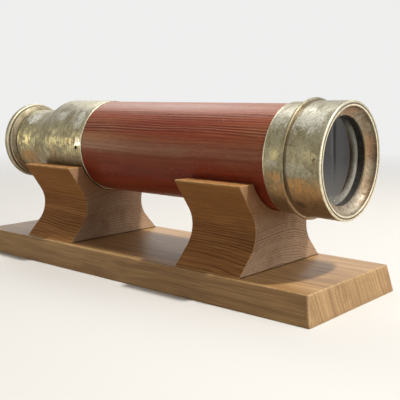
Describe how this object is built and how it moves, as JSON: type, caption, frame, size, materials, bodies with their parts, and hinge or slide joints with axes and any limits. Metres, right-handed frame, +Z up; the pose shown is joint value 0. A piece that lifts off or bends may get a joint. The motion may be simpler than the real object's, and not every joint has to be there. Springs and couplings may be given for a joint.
{
  "type": "spyglass",
  "caption": "Closed brass and mahogany draw telescope with a recessed object glass and a flared eyepiece cap, lying in two round-cut cradles on a bevelled wooden base.",
  "frame": {"origin": "middle of the base's underside, midway along and across the whole object", "axes": "+X along the tube towards the object glass, +Z up from the base, +Y across the base, away from the side that shows the lock screw"},
  "size_m": [0.2832, 0.092, 0.1122],
  "materials": {
    "stand_wood": "waxed mid-brown hardwood, fine grain",
    "mahogany": "polished deep red mahogany, grain along the tube",
    "aged_brass": "aged brass, mottled with tarnish, semi-gloss",
    "bowl_brass": "browned brass of the bowl round the object glass",
    "bright_brass": "drawn brass tube kept bright by sliding",
    "black_brass": "blackened brass, matte",
    "screw_metal": "dark aged brass screw",
    "lens_glass": "polished optical glass"
  },
  "bodies": {
    "stand": {"base_plank": "stand_wood", "front_cradle": "stand_wood", "rear_cradle": "stand_wood", "cradle_screws": "screw_metal"},
    "spyglass": {"barrel": "mahogany", "liner_tube": "bright_brass", "front_ferrule": "aged_brass", "objective_hood": "aged_brass", "objective_cell": "bowl_brass", "cell_lock_screw": "screw_metal", "black_ring": "black_brass", "crown_lens": "lens_glass", "lens_spacer": "black_brass", "flint_lens": "lens_glass", "lens_retainer": "black_brass", "rear_collar": "aged_brass", "collar_screws": "screw_metal", "neck_bearing": "bright_brass"},
    "outer_draw": {"outer_draw_tube": "bright_brass", "outer_draw_collar": "aged_brass", "outer_draw_guide": "bright_brass"},
    "middle_draw": {"middle_draw_tube": "bright_brass", "middle_draw_collar": "aged_brass", "middle_draw_guide": "bright_brass"},
    "eyepiece_draw": {"inner_draw_tube": "bright_brass", "inner_draw_guide": "bright_brass", "eyepiece_cap": "aged_brass", "eyepiece_tube": "black_brass", "eye_lens": "lens_glass", "field_lens": "lens_glass", "eyepiece_rings": "bright_brass", "field_stop": "black_brass", "erector_tube": "bright_brass", "erector_front_lens": "lens_glass", "erector_rear_lens": "lens_glass", "erector_rings": "bright_brass", "erector_stop": "black_brass", "shutter_pivot": "screw_metal"},
    "shutter": {"dust_shutter": "aged_brass"}
  },
  "joints": [
    {"name": "spyglass_lift", "type": "slide", "parent": "stand", "child": "spyglass", "axis": [0, 0, 1], "range_m": [0, 0.05]},
    {"name": "outer_draw_slide", "type": "slide", "parent": "spyglass", "child": "outer_draw", "axis": [-1, 0, 0], "range_m": [0, 0.163]},
    {"name": "middle_draw_slide", "type": "slide", "parent": "outer_draw", "child": "middle_draw", "axis": [-1, 0, 0], "range_m": [0, 0.165]},
    {"name": "eyepiece_draw_slide", "type": "slide", "parent": "middle_draw", "child": "eyepiece_draw", "axis": [-1, 0, 0], "range_m": [0, 0.162]},
    {"name": "shutter_swing", "type": "hinge", "parent": "eyepiece_draw", "child": "shutter", "pos_m": [-0.1388, 0, 0.0883], "axis": [1, 0, 0], "range_deg": [0, 66]}
  ]
}
